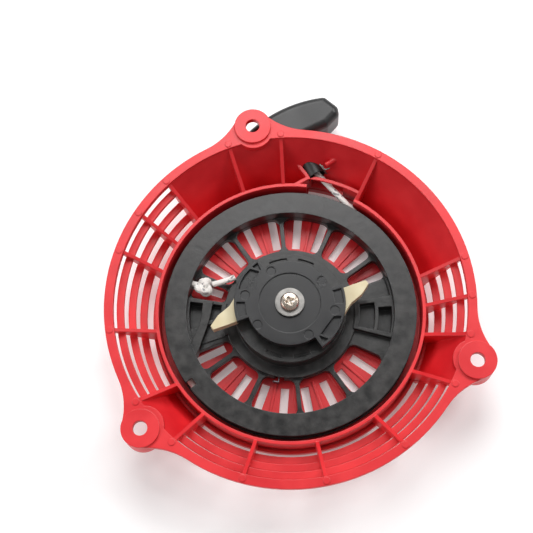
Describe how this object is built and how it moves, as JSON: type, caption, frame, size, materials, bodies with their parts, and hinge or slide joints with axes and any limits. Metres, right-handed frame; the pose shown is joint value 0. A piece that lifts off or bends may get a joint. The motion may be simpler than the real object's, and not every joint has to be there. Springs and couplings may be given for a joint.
{
  "type": "recoil starter",
  "caption": "Round recoil starter for a small engine: vented red case, rope reel on a spring, swinging ratchets under a guide plate, and a rubber pull grip on a cord.",
  "frame": {"origin": "on the reel's axis, in the plane of the case's outer front face", "axes": "+Z along the reel's axis towards the engine; the rope leaves the case towards +Y, a little towards -X; +X completes the right-handed frame"},
  "size_m": [0.2133, 0.2315, 0.039],
  "materials": {
    "case_plastic": "red satin moulded plastic",
    "reel_plastic": "black glass-filled moulded plastic",
    "guide_plastic": "black moulded plastic, lightly polished by wear",
    "ratchet_plastic": "cream unpainted nylon",
    "rope": "white braided cord with grey flecks",
    "spring_steel": "blued spring steel",
    "washer_steel": "bright zinc-plated steel",
    "screw_zinc": "yellow zinc-plated steel",
    "insert_brass": "turned brass",
    "bush_plastic": "black acetal",
    "grip_rubber": "black moulded rubber"
  },
  "bodies": {
    "housing": {"starter_case": "case_plastic", "post_insert": "insert_brass", "center_screw": "screw_zinc", "screw_washer": "washer_steel", "thrust_washer": "washer_steel", "rope_guide": "bush_plastic", "guide_clip": "washer_steel", "rope_lead_inner": "rope", "recoil_spring": "spring_steel"},
    "reel": {"reel": "reel_plastic", "rope_coil": "rope", "reel_knot": "rope"},
    "guide": {"ratchet_guide": "guide_plastic", "friction_spring": "spring_steel"},
    "ratchet_left": {"ratchet_left": "ratchet_plastic", "ratchet_spring_left": "spring_steel"},
    "ratchet_right": {"ratchet_right": "ratchet_plastic", "ratchet_spring_right": "spring_steel"},
    "grip": {"pull_grip": "grip_rubber", "grip_reinforcement": "washer_steel", "grip_knot": "rope", "rope_lead_outer": "rope"}
  },
  "joints": [
    {"name": "reel_spin", "type": "hinge", "parent": "housing", "child": "reel", "pos_m": [0, 0, 0.0175], "axis": [0, 0, 1], "range_deg": [0, 1048], "stiffness_Nm_per_rad": 0.05, "springref_deg": -360.96, "deforming": ["recoil_spring", "rope_lead_inner"]},
    {"name": "grip_pull", "type": "slide", "parent": "housing", "child": "grip", "axis": [-0.4067, 0.9135, 0], "range_m": [0, 1.2], "deforming": ["rope_lead_outer"]},
    {"name": "guide_turn", "type": "hinge", "parent": "reel", "child": "guide", "pos_m": [0, 0, 0.0315], "axis": [0, 0, 1], "range_deg": [-3, 14], "stiffness_Nm_per_rad": 0.02},
    {"name": "ratchet_left_swing", "type": "hinge", "parent": "reel", "child": "ratchet_left", "pos_m": [-0.0235, 0.008, 0.0265], "axis": [0, 0, 1], "range_deg": [-4.51, 21.01], "deforming": ["ratchet_spring_left"]},
    {"name": "ratchet_right_swing", "type": "hinge", "parent": "reel", "child": "ratchet_right", "pos_m": [0.0235, -0.008, 0.0265], "axis": [0, 0, 1], "range_deg": [-4.51, 21.01], "deforming": ["ratchet_spring_right"]}
  ],
  "couplings": [
    {"joint": "grip_pull", "follows": "reel_spin", "m_per_rad": 0.0656},
    {"joint": "ratchet_left_swing", "follows": "guide_turn", "ratio": 1.5},
    {"joint": "ratchet_right_swing", "follows": "guide_turn", "ratio": 1.5}
  ]
}
